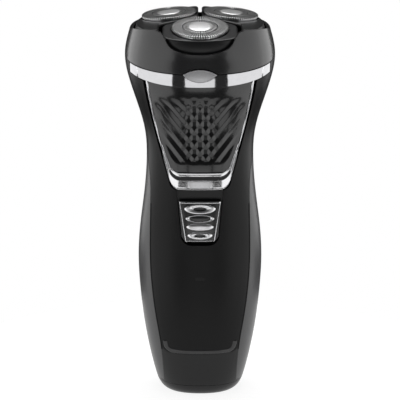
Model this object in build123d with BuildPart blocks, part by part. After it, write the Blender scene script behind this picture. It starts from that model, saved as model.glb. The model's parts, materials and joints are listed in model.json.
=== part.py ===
from build123d import *
import math
import os

# Rotary electric shaver with three floating heads, standing upright on its base.
# Millimetres, +Z up, the front faces -Y, origin at the centre of the flat base.

# ---------------------------------------------------------------- driving sizes
SEAM_HEIGHT = 140.0       # where the flip-up head meets the handle, on the centre line
SEAM_TILT = 15.5          # the seam falls towards the front, degrees
HEAD_HEIGHT = 139.6       # origin of the drive frame on the centre line
HEAD_TILT = 13.0          # the drive axes lean forwards by this much, degrees
NECK_HEIGHT = 100.0       # below this the sections are level
SQUARENESS = 2.25         # exponent of the body's superellipse sections
SECTION_POINTS = 16

SKIN = 0.9                # thickness of the outer covers and trims
WALL = 2.2                # covers and shell together
HEAD_WALL = 1.5
SEAM_GAP = 0.12           # shadow line around covers and trims
BASE_CAP_HEIGHT = 4.4

RING_CIRCLE = 14.43       # radius of the circle through the three ring centres
RING_HEIGHT = 14.25       # ring tops above the drive frame's origin
RING_RADIUS = 11.0
RING_DEPTH = 2.4
POD_TILT = 6.0            # each pod leans outwards, degrees
POD_DROP = 1.25           # the pod's rim lies this far below the ring's top
POD_INSET = 2.25          # pods sit this far inside the head's outer surface
POD_BORE = 11.35
POD_FLOOR = 6.9           # lowest level of the pods in the drive frame
POD_PIVOT_DROP = 4.0
SEAM_BETWEEN_PODS = 1.4
POD_CORNER = 2.0          # rounding of the pods' outer corners
FRONT_POD_CORNER = 5.0    # the front pod's corners are rounder
FRONT_POD_HALF_WIDTH = 14.6
POD_RIM = 0.8             # rounding along the pods' upper edge
HOUSING_TOP = 9.9         # upper edge of the hair chamber in the drive frame
SHOULDER_HEIGHT = 149.3   # level height of the edge beside the front pod
FRONT_DIP = 7.1           # the edge dips to this height under the front pod
FRONT_DIP_TOP = 14.5

SPINDLE_CIRCLE = 13.86
PINION_TEETH = 24
GEAR_TEETH = 28
GEAR_LOW = -6.4
GEAR_HIGH = -3.6
DECK_LOW = -3.0
DECK_HIGH = -1.7
GEAR_PLATE_LOW = -9.4
GEAR_PLATE_HIGH = -7.2

HINGE_OUT = 27.1          # hinge axis behind the centre line, in the seam plane
KNUCKLE_RADIUS = 2.3
HINGE_PIN_RADIUS = 1.0
RUNNING = 0.05            # radial clearance of a shaft in its bore

SWITCH_TRAVEL = 4.0
REACH = 60.0              # longer than any half of the body

# height along the spine, half width, depth in front of and behind the spine
STATIONS = [
    (0.0, 14.5, 12.4, 12.4),
    (2.2, 16.8, 14.5, 14.5),
    (7.0, 18.7, 16.2, 16.4),
    (16.0, 20.9, 17.7, 18.4),
    (28.0, 23.1, 19.2, 20.2),
    (42.0, 24.7, 20.3, 21.6),
    (56.0, 25.4, 20.8, 22.2),
    (70.0, 24.5, 20.5, 21.8),
    (83.0, 22.8, 19.7, 21.0),
    (97.0, 21.7, 19.2, 20.6),
    (108.0, 22.2, 19.9, 21.0),
    (119.0, 25.0, 22.6, 22.6),
    (130.0, 28.4, 26.0, 24.4),
    (139.6, 30.0, 28.3, 25.2),
    (145.0, 29.2, 29.0, 24.7),
    (150.0, 27.8, 28.8, 23.8),
    (157.0, 25.4, 27.0, 22.0),
]


def spine_plane(height):
    """Section plane at a height along the spine, which leans forwards at the head."""
    rise = min(max((height - NECK_HEIGHT) / (HEAD_HEIGHT - NECK_HEIGHT), 0.0), 1.0)
    tilt = math.radians(HEAD_TILT * rise * rise * (3 - 2 * rise))
    above = max(height - HEAD_HEIGHT, 0.0)
    origin = (0, -above * math.sin(tilt), height - above + above * math.cos(tilt))
    return Plane(origin=origin, x_dir=(1, 0, 0), z_dir=(0, -math.sin(tilt), math.cos(tilt)))


def tilted_plane(height, tilt):
    """Plane across the body that falls towards the front."""
    angle = math.radians(tilt)
    return Plane(origin=(0, 0, height), x_dir=(1, 0, 0), z_dir=(0, -math.sin(angle), math.cos(angle)))


def section_points(half_width, front, back, inset):
    """Points round a superellipse with its own front and back depth."""
    points = []
    for index in range(SECTION_POINTS):
        angle = math.pi / 2 + 2 * math.pi * index / SECTION_POINTS
        depth = back if math.sin(angle) > 0 else front
        x = math.copysign(abs(math.cos(angle)) ** (2 / SQUARENESS), math.cos(angle))
        y = math.copysign(abs(math.sin(angle)) ** (2 / SQUARENESS), math.sin(angle))
        points.append((x * (half_width - inset), y * (depth - inset)))
    return points


def body_envelope(inset):
    """Solid bounded by the body's outer surface, drawn in by the inset."""
    with BuildPart() as envelope:
        for height, half_width, front, back in STATIONS:
            with BuildSketch(spine_plane(height)):
                with BuildLine():
                    Spline(*section_points(half_width, front, back, inset), periodic=True)
                make_face()
        loft()
    return envelope.part


HEAD = tilted_plane(HEAD_HEIGHT, HEAD_TILT)
SEAM = tilted_plane(SEAM_HEIGHT, SEAM_TILT)
BAND_FOOT = tilted_plane(SEAM_HEIGHT - 3.2, SEAM_TILT + 4.0)

OUTER = body_envelope(0)
COVER_FLOOR = body_envelope(SKIN)
INNER = body_envelope(WALL)


def half_outline(foot, corner, side, low, top):
    """Closed front-view outline with a rounded foot, mirrored about the middle."""
    with BuildSketch() as outline:
        with BuildLine():
            base = Line((0, low), foot)
            turn = TangentArc(base @ 1, corner, tangent=(1, 0))
            edge = Spline(turn @ 1, *side)
            rise = Line(edge @ 1, (side[-1][0], top))
            Line(rise @ 1, (0, top))
            mirror(about=Plane.YZ)
        make_face()
    return outline.sketch


def front_prism(outline, grow=0.0):
    """Everything behind a front-view outline, from the middle of the body forwards."""
    with BuildPart() as prism:
        with BuildSketch(Plane.XZ):
            add(outline)
            if grow:
                offset(amount=grow)
        extrude(amount=REACH)
    return prism.part


def slab(plane, low, high):
    """Wide slab between two levels above a plane."""
    with BuildPart() as block:
        with BuildSketch(plane.offset(low)):
            Rectangle(2 * REACH, 2 * REACH)
        extrude(amount=high - low)
    return block.part


def block_between(low, high):
    """Axis-aligned block between two corners."""
    with BuildPart() as block:
        with BuildSketch(Plane.XY.offset(low[2])):
            with Locations(((low[0] + high[0]) / 2, (low[1] + high[1]) / 2)):
                Rectangle(high[0] - low[0], high[1] - low[1])
        extrude(amount=high[2] - low[2])
    return block.part


def rod(origin, direction, radius, length):
    """Round bar from a point along a direction."""
    with BuildPart() as bar:
        with BuildSketch(Plane(origin=origin, z_dir=direction)):
            Circle(radius)
        extrude(amount=length)
    return bar.part


def save(piece, name):
    """Label a finished piece and write it to its own file."""
    piece.label = name
    export_step(piece, f"parts/{name}.step")


os.makedirs("parts", exist_ok=True)

# ------------------------------------------------------------ front-view outlines
PANEL_FOOT = 93.6
BEZEL_FOOT = 86.7
COVER_FOOT = 18.8
OUTLINE_TOP = 148.0
PANEL = half_outline(
    (8.6, PANEL_FOOT), (12.4, 97.6), [(16.2, 108.5), (18.7, 120), (20.2, 131)], PANEL_FOOT, OUTLINE_TOP)
BEZEL = half_outline(
    (8.6, BEZEL_FOOT), (11.9, 90.0), [(16.9, 108.5), (19.5, 120), (21.2, 131)], BEZEL_FOOT, OUTLINE_TOP)
GROOVE = half_outline(
    (8.7, BEZEL_FOOT - 0.1), (12.2, 90.0), [(17.6, 108.5), (20.3, 120), (22.1, 131)], BEZEL_FOOT - 0.1,
    OUTLINE_TOP)
COVER_EDGE = [(14.7, 0), (14.9, 10), (15.9, 22), (18.6, 40), (19.9, 57), (19.7, 80), (22.5, 101), (33, 110)]


def cover_region(widen, low, foot_radius=0.0):
    """Front-view region between the two edges that the cover shares with the grips."""
    with BuildSketch() as region:
        with BuildLine():
            side = Spline(*[(x + widen, height) for x, height in COVER_EDGE])
            Line((0, 0), side @ 0)
            Polyline(side @ 1, (COVER_EDGE[-1][0] + widen, OUTLINE_TOP), (0, OUTLINE_TOP))
            mirror(about=Plane.YZ)
        make_face()
        with Locations((0, low - REACH)):
            Rectangle(2 * REACH, 2 * REACH, mode=Mode.SUBTRACT)
        if foot_radius:
            fillet(region.vertices().group_by(Axis.Y)[0], foot_radius)
    return region.sketch


COVER = cover_region(0, COVER_FOOT, 3.6)
RECESS = half_outline((3.4, 64.6), (7.6, 69.6), [(8.35, 77.0), (9.0, 84.0)], 64.6, 86.6)
RECESS_TUB = half_outline((4.2, 63.2), (9.0, 69.2), [(9.8, 77.0), (10.4, 84.0)], 63.2, 88.0)
SLIDER = half_outline((4.2, 66.3), (7.25, 70.0), [(7.75, 75.0), (8.2, 80.0)], 66.3, 82.3)

with BuildSketch() as button_outline:
    with BuildLine():
        ThreePointArc((-6.4, 132.4), (0, 134.4), (6.4, 132.4))
        ThreePointArc((6.4, 132.4), (0, 129.6), (-6.4, 132.4))
    make_face()
BUTTON = button_outline.sketch

# ------------------------------------------------------------------ outer covers
PROUD = body_envelope(-0.6)
HEAD_INNER = body_envelope(HEAD_WALL)
MID_WALL = HEAD_INNER

BAND_END = 27.3
BAND_GAP = 0.3
with BuildPart() as skin:
    add(OUTER)
    add(COVER_FLOOR, mode=Mode.SUBTRACT)
    split(bisect_by=SEAM.offset(-0.1), keep=Keep.BOTTOM)
    split(bisect_by=Plane.XZ.offset(SEAM_GAP), keep=Keep.TOP)
    add(front_prism(COVER), mode=Mode.INTERSECT)

with BuildPart() as band_zone:
    add(block_between((-BAND_END, -REACH, 110), (BAND_END, -2, 160)))
    split(bisect_by=BAND_FOOT.offset(-BAND_GAP), keep=Keep.TOP)

with BuildPart() as chrome_band:
    add(skin.part)
    add(band_zone.part, mode=Mode.INTERSECT)
    split(bisect_by=SEAM.offset(-0.25), keep=Keep.BOTTOM)
    split(bisect_by=BAND_FOOT, keep=Keep.TOP)
    add(front_prism(BUTTON, 0.2), mode=Mode.SUBTRACT)

with BuildPart() as textured_panel:
    add(skin.part)
    add(front_prism(PANEL), mode=Mode.INTERSECT)
    add(band_zone.part, mode=Mode.SUBTRACT)

with BuildPart() as chrome_bezel:
    add(skin.part)
    add(front_prism(BEZEL), mode=Mode.INTERSECT)
    add(front_prism(PANEL), mode=Mode.SUBTRACT)
    add(band_zone.part, mode=Mode.SUBTRACT)

with BuildPart() as front_cover:
    add(skin.part)
    add(front_prism(GROOVE), mode=Mode.SUBTRACT)
    add(front_prism(RECESS), mode=Mode.SUBTRACT)
    with BuildPart(mode=Mode.PRIVATE) as band_bed:
        add(block_between((-BAND_END - SEAM_GAP, -REACH, 110), (BAND_END + SEAM_GAP, -2, 160)))
        split(bisect_by=BAND_FOOT.offset(-BAND_GAP), keep=Keep.TOP)
    add(band_bed.part, mode=Mode.SUBTRACT)

GRIP_BACK = 12.0
GRIP_FOOT = 5.2
grips = {}
for side, name in ((-1, "left_grip"), (1, "right_grip")):
    with BuildPart() as grip:
        add(OUTER)
        add(COVER_FLOOR, mode=Mode.SUBTRACT)
        add(block_between((0, -REACH, GRIP_FOOT), (REACH, GRIP_BACK, 106)) if side > 0
            else block_between((-REACH, -REACH, GRIP_FOOT), (0, GRIP_BACK, 106)), mode=Mode.INTERSECT)
        with BuildSketch(Plane.XZ.offset(-GRIP_BACK - 1)):
            add(cover_region(SEAM_GAP, 0))
        extrude(amount=2 * REACH, mode=Mode.SUBTRACT)
    grips[name] = grip.part
    save(grip.part, name)

# ------------------------------------------------------------------ handle shells
SHELL_FOOT = BASE_CAP_HEIGHT + SEAM_GAP
RECESS_FLOOR = 16.7
with BuildPart() as shell:
    add(OUTER)
    add(INNER, mode=Mode.SUBTRACT)
    split(bisect_by=SEAM.offset(-0.1), keep=Keep.BOTTOM)
    split(bisect_by=Plane.XY.offset(SHELL_FOOT), keep=Keep.TOP)

with BuildPart() as front_shell:
    add(shell.part)
    split(bisect_by=Plane.XZ.offset(SEAM_GAP / 2), keep=Keep.TOP)
    with BuildPart(mode=Mode.PRIVATE) as switch_tub:
        with BuildSketch(Plane.XZ.offset(RECESS_FLOOR - 1.2)):
            add(RECESS_TUB)
        extrude(amount=REACH)
        add(MID_WALL, mode=Mode.INTERSECT)
    add(switch_tub.part)
    with BuildSketch(Plane.XZ.offset(RECESS_FLOOR)):
        add(RECESS)
    extrude(amount=REACH, mode=Mode.SUBTRACT)
    with BuildSketch(Plane.XZ):
        with Locations((0, 75.8)):
            Rectangle(5.0, 9.6)
    extrude(amount=REACH, mode=Mode.SUBTRACT)
    with BuildSketch(Plane.XZ):
        add(BUTTON)
        offset(amount=0.2)
    extrude(amount=REACH, mode=Mode.SUBTRACT)
    add(skin.part, mode=Mode.SUBTRACT)
    for piece in grips.values():
        add(piece, mode=Mode.SUBTRACT)

for piece, name in ((textured_panel, "textured_panel"), (chrome_bezel, "chrome_bezel"),
                    (chrome_band, "chrome_band")):
    save(piece.part, name)

# the indicator window passes through the cover and the shell
INDICATOR_HEIGHT = 50.8
with BuildPart() as indicator_lens:
    with BuildSketch(Plane.XZ.offset(18.0)):
        with Locations((0, INDICATOR_HEIGHT)):
            SlotOverall(3.8, 1.4)
    extrude(amount=REACH)
    add(OUTER, mode=Mode.INTERSECT)
with BuildPart() as window:
    with BuildSketch(Plane.XZ):
        with Locations((0, INDICATOR_HEIGHT)):
            SlotOverall(3.8, 1.4)
    extrude(amount=REACH)
for piece, name in ((front_cover, "front_cover"), (front_shell, "front_shell")):
    with piece:
        add(window.part, mode=Mode.SUBTRACT)
    save(piece.part, name)
save(indicator_lens.part, "indicator_lens")

# ------------------------------------------------------------------------ switch
with BuildPart() as switch_slider:
    with BuildSketch(Plane.XZ.offset(RECESS_FLOOR + 0.1)):
        add(SLIDER)
    extrude(amount=REACH)
    add(PROUD, mode=Mode.INTERSECT)
    add(block_between((-2.1, -RECESS_FLOOR - 1, 71.4), (2.1, -13.6, 76.0)))
save(switch_slider.part, "switch_slider")

RIDGES = [(79.6, 6.2, 2.0), (75.6, 5.7, 1.4), (72.4, 5.6, 1.6), (68.9, 4.9, 1.5)]
with BuildPart() as switch_ridges:
    with BuildSketch(Plane.XZ.offset(RECESS_FLOOR + 2)):
        for height, half_width, half_height in RIDGES:
            with Locations((0, height)):
                Ellipse(half_width, half_height)
    extrude(amount=21.6 - RECESS_FLOOR - 2)
    add(PROUD, mode=Mode.SUBTRACT)
save(switch_ridges.part, "switch_ridges")

# ---------------------------------------------------------------- release button
BUTTON_BACK = 24.4
with BuildPart() as release_button:
    with BuildSketch(Plane.XZ.offset(BUTTON_BACK)):
        add(BUTTON)
    extrude(amount=REACH)
    add(PROUD, mode=Mode.INTERSECT)
save(release_button.part, "release_button")

# ------------------------------------------------------------------- head hinge
HINGE_POINT = SEAM.origin + SEAM.y_dir * HINGE_OUT
KNUCKLE_HALF = 6.0
KNUCKLE_END = 12.0
SIDE_GAP = 0.12
CLEAR_RADIUS = KNUCKLE_RADIUS + 0.25


def knuckle(low, high, radius):
    """Round barrel on the hinge axis between two places across the body."""
    return rod(HINGE_POINT + Vector(low, 0, 0), (1, 0, 0), radius, high - low)


def web(low, high, floor, roof):
    """Block that carries a knuckle, from the hinge axis to the wall."""
    with BuildPart() as block:
        with BuildSketch(SEAM.offset(floor)):
            with Locations(((low + high) / 2, HINGE_OUT - 1.6)):
                Rectangle(high - low, 3.2)
        extrude(amount=roof - floor)
    return block.part


with BuildPart() as hinge_pin:
    add(knuckle(-KNUCKLE_END, KNUCKLE_END, HINGE_PIN_RADIUS))
save(hinge_pin.part, "hinge_pin")

# ----------------------------------------------------------------------- trimmer
TRIMMER_HALF = 10.5
TRIMMER_AXIS = (0, 19.05, 101.6)
TRIMMER_NOSE = 1.75
TRIMMER_TOP = 124.5
POCKET_TOP = 130.6
TRIMMER_DEEP = body_envelope(3.4)
POCKET_DEEP = body_envelope(3.7)
TUB_DEEP = body_envelope(4.8)


def back_prism(half_width, low, high, radius):
    """Everything in front of a rounded back-view rectangle, from the middle backwards."""
    with BuildPart() as prism:
        with BuildSketch(Plane.XZ):
            with Locations((0, (low + high) / 2)):
                RectangleRounded(2 * half_width, high - low, radius)
        extrude(amount=-REACH)
    return prism.part


TRIMMER_LOW = TRIMMER_AXIS[2] - TRIMMER_NOSE
BLADE_PLANE = Plane(origin=(0, 20.55, 116.0), x_dir=(1, 0, 0), z_dir=(0, math.cos(math.radians(13)),
                                                                   -math.sin(math.radians(13))))
BLADE_THICK = 0.55
COMB_HALF = 8.5
BLADE_HALF = 7.0
TOOTH_PITCH = 0.85
TOOTH_GAP = 0.42


def toothed_plate(level, half_width, low, high):
    """Flat clipper plate with a row of teeth along its top edge."""
    with BuildPart() as plate:
        with BuildSketch(BLADE_PLANE.offset(level)):
            with Locations((0, -(low + high) / 2)):
                Rectangle(2 * half_width, high - low)
            count = int(2 * half_width / TOOTH_PITCH) - 1
            with Locations((0, -(high - 0.9))):
                with GridLocations(TOOTH_PITCH, 1, count, 1):
                    Rectangle(TOOTH_GAP, 1.8, mode=Mode.SUBTRACT)
        extrude(amount=-BLADE_THICK)
    return plate.part


trimmer_comb = toothed_plate(0.0, COMB_HALF, 2.0, 12.2)
trimmer_blade = toothed_plate(-BLADE_THICK - 0.02, BLADE_HALF, 2.6, 11.9)
save(trimmer_comb, "trimmer_comb")
save(trimmer_blade, "trimmer_blade")

with BuildPart() as trimmer_frame:
    add(OUTER)
    add(TRIMMER_DEEP, mode=Mode.SUBTRACT)
    add(back_prism(TRIMMER_HALF, TRIMMER_LOW, TRIMMER_TOP, 1.2), mode=Mode.INTERSECT)
    add(block_between((-REACH, 0, TRIMMER_LOW - 1), (REACH, REACH, TRIMMER_AXIS[2])), mode=Mode.SUBTRACT)
    add(rod((-TRIMMER_HALF, *TRIMMER_AXIS[1:]), (1, 0, 0), TRIMMER_NOSE, 2 * TRIMMER_HALF))
    add(rod((-REACH, *TRIMMER_AXIS[1:]), (1, 0, 0), 0.8 + RUNNING, 2 * REACH), mode=Mode.SUBTRACT)
    with BuildSketch(BLADE_PLANE.offset(0.0)):
        with Locations((0, -9.0)):
            Rectangle(2 * COMB_HALF, 14.0)
    extrude(amount=-2 * BLADE_THICK - 0.1, mode=Mode.SUBTRACT)
save(trimmer_frame.part, "trimmer_frame")

with BuildPart() as trimmer_pin:
    add(rod((-TRIMMER_HALF - 1.2, *TRIMMER_AXIS[1:]), (1, 0, 0), 0.8, 2 * TRIMMER_HALF + 2.4))
save(trimmer_pin.part, "trimmer_pin")

TRIMMER_KEY_LOW = 89.6
TRIMMER_KEY_HIGH = 96.4
TRIMMER_KEY_TRAVEL = 2.5
with BuildPart() as trimmer_key:
    add(PROUD)
    add(body_envelope(1.5), mode=Mode.SUBTRACT)
    add(back_prism(5.0, TRIMMER_KEY_LOW, TRIMMER_KEY_HIGH, 1.0), mode=Mode.INTERSECT)
    for step in range(4):
        groove_height = TRIMMER_KEY_LOW + 1.9 + step
        add(block_between((-3.6, 21.0, groove_height - 0.25), (3.6, REACH, groove_height + 0.25)),
            mode=Mode.SUBTRACT)
save(trimmer_key.part, "trimmer_key")

# --------------------------------------------------------------------- rear shell
SCREW_PLACES = [(-11.0, 24.0), (11.0, 24.0)]
SCREW_SEAT = 15.6
with BuildPart() as tub:
    add(MID_WALL)
    add(TUB_DEEP, mode=Mode.SUBTRACT)
    add(back_prism(TRIMMER_HALF + 1.5, TRIMMER_LOW - 1.5, POCKET_TOP + 1.3, 1.2), mode=Mode.INTERSECT)

with BuildPart() as key_slot:
    add(PROUD)
    add(body_envelope(1.6), mode=Mode.SUBTRACT)
    add(back_prism(5.2, TRIMMER_KEY_LOW - TRIMMER_KEY_TRAVEL - 0.2, TRIMMER_KEY_HIGH + 0.2, 1.2),
        mode=Mode.INTERSECT)

with BuildPart() as pocket:
    add(PROUD)
    add(POCKET_DEEP, mode=Mode.SUBTRACT)
    add(back_prism(TRIMMER_HALF + 0.25, TRIMMER_LOW - 0.25, POCKET_TOP, 1.2), mode=Mode.INTERSECT)

with BuildPart() as rear_shell:
    add(shell.part)
    split(bisect_by=Plane.XZ.offset(-SEAM_GAP / 2), keep=Keep.BOTTOM)
    add(tub.part)
    for x, z in SCREW_PLACES:
        add(rod((x, 12.0, z), (0, 1, 0), 3.2, 5.2))
    add(OUTER, mode=Mode.INTERSECT)
    for x, z in SCREW_PLACES:
        add(rod((x, SCREW_SEAT, z), (0, 1, 0), 2.1, REACH), mode=Mode.SUBTRACT)
        add(rod((x, 0, z), (0, 1, 0), 1.0, REACH), mode=Mode.SUBTRACT)
    add(pocket.part, mode=Mode.SUBTRACT)
    add(key_slot.part, mode=Mode.SUBTRACT)
    add(trimmer_pin.part, mode=Mode.SUBTRACT)
    for low, high in ((-KNUCKLE_END - SIDE_GAP, -KNUCKLE_HALF), (KNUCKLE_HALF, KNUCKLE_END + SIDE_GAP)):
        add(knuckle(low, high, CLEAR_RADIUS), mode=Mode.SUBTRACT)
    add(web(-KNUCKLE_HALF, KNUCKLE_HALF, -KNUCKLE_RADIUS, -0.15))
    add(knuckle(-KNUCKLE_HALF, KNUCKLE_HALF, KNUCKLE_RADIUS))
    add(hinge_pin.part, mode=Mode.SUBTRACT)
    for piece in grips.values():
        add(piece, mode=Mode.SUBTRACT)
save(rear_shell.part, "rear_shell")

with BuildPart() as case_screws:
    for x, z in SCREW_PLACES:
        add(rod((x, 10.0, z), (0, 1, 0), 1.0, SCREW_SEAT - 10.0))
        add(rod((x, SCREW_SEAT, z), (0, 1, 0), 1.9, 1.5))
        for slot in ((2.6, 0.6), (0.6, 2.6)):
            add(block_between((x - slot[0] / 2, SCREW_SEAT + 0.8, z - slot[1] / 2),
                              (x + slot[0] / 2, SCREW_SEAT + 2, z + slot[1] / 2)), mode=Mode.SUBTRACT)
save(case_screws.part, "case_screws")

# ----------------------------------------------------------------- base and inlet
SOCKET_WIDTH = 11.6
SOCKET_DEPTH = 7.2
SOCKET_TOP = 11.0
with BuildPart() as base_cap:
    add(OUTER)
    split(bisect_by=Plane.XY.offset(BASE_CAP_HEIGHT), keep=Keep.BOTTOM)
    with BuildPart(mode=Mode.PRIVATE) as hollow:
        add(INNER)
        split(bisect_by=Plane.XY.offset(1.7), keep=Keep.TOP)
    add(hollow.part, mode=Mode.SUBTRACT)
    with BuildSketch(Plane.XY):
        RectangleRounded(SOCKET_WIDTH, SOCKET_DEPTH, 3.0)
    extrude(amount=5, mode=Mode.SUBTRACT)
save(base_cap.part, "base_cap")

with BuildPart() as charging_socket:
    with BuildSketch(Plane.XY.offset(0.3)):
        RectangleRounded(SOCKET_WIDTH, SOCKET_DEPTH, 3.0)
    extrude(amount=SOCKET_TOP - 0.3)
    with BuildSketch(Plane.XY):
        RectangleRounded(SOCKET_WIDTH - 1.6, SOCKET_DEPTH - 1.6, 2.4)
    extrude(amount=SOCKET_TOP - 1.4, mode=Mode.SUBTRACT)
save(charging_socket.part, "charging_socket")

with BuildPart() as socket_pins:
    for x in (-3.2, 3.2):
        add(rod((x, 0, 2.4), (0, 0, 1), 0.75, SOCKET_TOP - 1.4 - 2.4))
save(socket_pins.part, "socket_pins")

# ---------------------------------------------------------------------- internals
CHASSIS_FACE = -7.2
with BuildPart() as chassis:
    add(block_between((-13.5, CHASSIS_FACE, 11.8), (13.5, CHASSIS_FACE + 1.6, 92)))
    add(block_between((-13.5, CHASSIS_FACE, 11.8), (13.5, 8, 13.4)))
    add(block_between((-13.5, CHASSIS_FACE, 66.2), (13.5, 9, 67.8)))
    add(block_between((-9, CHASSIS_FACE - 1, 72), (9, CHASSIS_FACE + 2, 88)), mode=Mode.SUBTRACT)
save(chassis.part, "chassis")

CELL_RADIUS = 7.0
for x, name in ((-7.4, "left_cell"), (7.4, "right_cell")):
    with BuildPart() as cell:
        add(rod((x, 1.8, 14.6), (0, 0, 1), CELL_RADIUS, 48.4))
        add(rod((x, 1.8, 63.0), (0, 0, 1), 2.6, 1.4))
    save(cell.part, name)

BOARD_FACE = -8.8
with BuildPart() as circuit_board:
    add(block_between((-12.5, BOARD_FACE, 20), (12.5, CHASSIS_FACE, 86)))
save(circuit_board.part, "circuit_board")

with BuildPart() as power_switch:
    add(block_between((-4.5, -13.2, 69), (4.5, BOARD_FACE, 82.5)))
save(power_switch.part, "power_switch")

with BuildPart() as indicator_led:
    add(rod((0, BOARD_FACE, INDICATOR_HEIGHT), (0, -1, 0), 1.5, 7.6))
save(indicator_led.part, "indicator_led")

MOTOR_LENGTH = 25.0
with BuildPart() as motor:
    with BuildSketch(HEAD.offset(GEAR_PLATE_LOW - MOTOR_LENGTH)):
        Circle(10)
        Rectangle(24, 15.4, mode=Mode.INTERSECT)
    extrude(amount=MOTOR_LENGTH)
    with BuildSketch(HEAD.offset(GEAR_PLATE_LOW)):
        Circle(1.0 + RUNNING)
    extrude(amount=-8, mode=Mode.SUBTRACT)
save(motor.part, "motor")

# -------------------------------------------------------------------- gear train
MODULE = 2 * SPINDLE_CIRCLE / (PINION_TEETH + GEAR_TEETH)
POD_ANGLES = {"front": -90, "right": 30, "left": 150}


def polar(radius, angle):
    """Point in a plane at an angle in degrees."""
    return (radius * math.cos(math.radians(angle)), radius * math.sin(math.radians(angle)))


def gear_outline(teeth, facing, gap_first):
    """Straight-sided spur gear profile with a tooth or a gap facing an angle in degrees."""
    pitch_radius = MODULE * teeth / 2
    step = 360 / teeth
    first = facing + (step / 2 if gap_first else 0)
    flank = ((pitch_radius - 1.15 * MODULE, 0.88 * MODULE), (pitch_radius, 0.66 * MODULE),
             (pitch_radius + 0.9 * MODULE, 0.3 * MODULE))
    points = []
    for index in range(teeth):
        middle = first + index * step
        for side, rows in ((-1, flank), (1, flank[::-1])):
            for radius, half_width in rows:
                points.append(polar(radius, middle + side * math.degrees(half_width / radius)))
    return points


with BuildPart() as motor_shaft:
    with BuildSketch(HEAD.offset(GEAR_PLATE_LOW - 7.5)):
        Circle(1.0)
    extrude(amount=GEAR_HIGH + 0.3 - GEAR_PLATE_LOW + 7.5)
save(motor_shaft.part, "motor_shaft")

with BuildPart() as drive_pinion:
    with BuildSketch(HEAD.offset(GEAR_LOW)):
        with BuildLine():
            Polyline(*gear_outline(PINION_TEETH, -90, False), close=True)
        make_face()
        Circle(1.0, mode=Mode.SUBTRACT)
    extrude(amount=GEAR_HIGH - GEAR_LOW)
save(drive_pinion.part, "drive_pinion")

SPINDLE_TIP = 9.2
HEX_FOOT = 7.6


def spindle_plane(angle, level):
    """Plane across one spindle's axis at a level of the drive frame."""
    return Plane(HEAD.location * Pos(*polar(SPINDLE_CIRCLE, angle), level))


for place, angle in POD_ANGLES.items():
    with BuildPart() as drive_gear:
        with BuildSketch(spindle_plane(angle, GEAR_LOW)):
            with BuildLine():
                Polyline(*gear_outline(GEAR_TEETH, angle + 180, True), close=True)
            make_face()
            Circle(1.0, mode=Mode.SUBTRACT)
        extrude(amount=GEAR_HIGH - GEAR_LOW)
    save(drive_gear.part, f"{place}_drive_gear")
    with BuildPart() as spindle:
        with BuildSketch(spindle_plane(angle, GEAR_PLATE_LOW + 0.2)):
            Circle(1.0)
        extrude(amount=GEAR_HIGH - GEAR_PLATE_LOW - 0.2)
        with BuildSketch(spindle_plane(angle, GEAR_HIGH)):
            Circle(1.7)
        extrude(amount=HEX_FOOT - GEAR_HIGH)
        with BuildSketch(spindle_plane(angle, HEX_FOOT)):
            RegularPolygon(1.1, 6)
        extrude(amount=SPINDLE_TIP - HEX_FOOT)
    save(spindle.part, f"{place}_spindle")

with BuildPart() as gear_plate:
    add(INNER)
    add(slab(HEAD, GEAR_PLATE_LOW, GEAR_PLATE_HIGH), mode=Mode.INTERSECT)
    with BuildSketch(HEAD.offset(GEAR_PLATE_LOW)):
        Circle(3.0)
        with PolarLocations(SPINDLE_CIRCLE, 3, start_angle=-90):
            Circle(1.0 + RUNNING)
    extrude(amount=5, mode=Mode.SUBTRACT)
    add(tub.part, mode=Mode.SUBTRACT)
save(gear_plate.part, "gear_plate")

DECK_SCREW_CIRCLE = 17.5
with BuildPart() as drive_deck:
    add(INNER)
    add(slab(HEAD, DECK_LOW, DECK_HIGH), mode=Mode.INTERSECT)
    with BuildSketch(HEAD.offset(DECK_LOW)):
        with PolarLocations(SPINDLE_CIRCLE, 3, start_angle=-90):
            Circle(2.3)
        with PolarLocations(DECK_SCREW_CIRCLE, 3, start_angle=90):
            Circle(0.9)
    extrude(amount=5, mode=Mode.SUBTRACT)
    add(block_between((-8, -REACH, 120), (8, -21.2, 140)), mode=Mode.SUBTRACT)
    add(tub.part, mode=Mode.SUBTRACT)
save(drive_deck.part, "drive_deck")

with BuildPart() as deck_screws:
    with BuildSketch(HEAD.offset(GEAR_PLATE_HIGH)):
        with PolarLocations(DECK_SCREW_CIRCLE, 3, start_angle=90):
            Circle(0.9)
    extrude(amount=DECK_HIGH - GEAR_PLATE_HIGH)
    with BuildSketch(HEAD.offset(DECK_HIGH)):
        with PolarLocations(DECK_SCREW_CIRCLE, 3, start_angle=90):
            Circle(1.6)
    extrude(amount=0.8)
save(deck_screws.part, "deck_screws")

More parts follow.
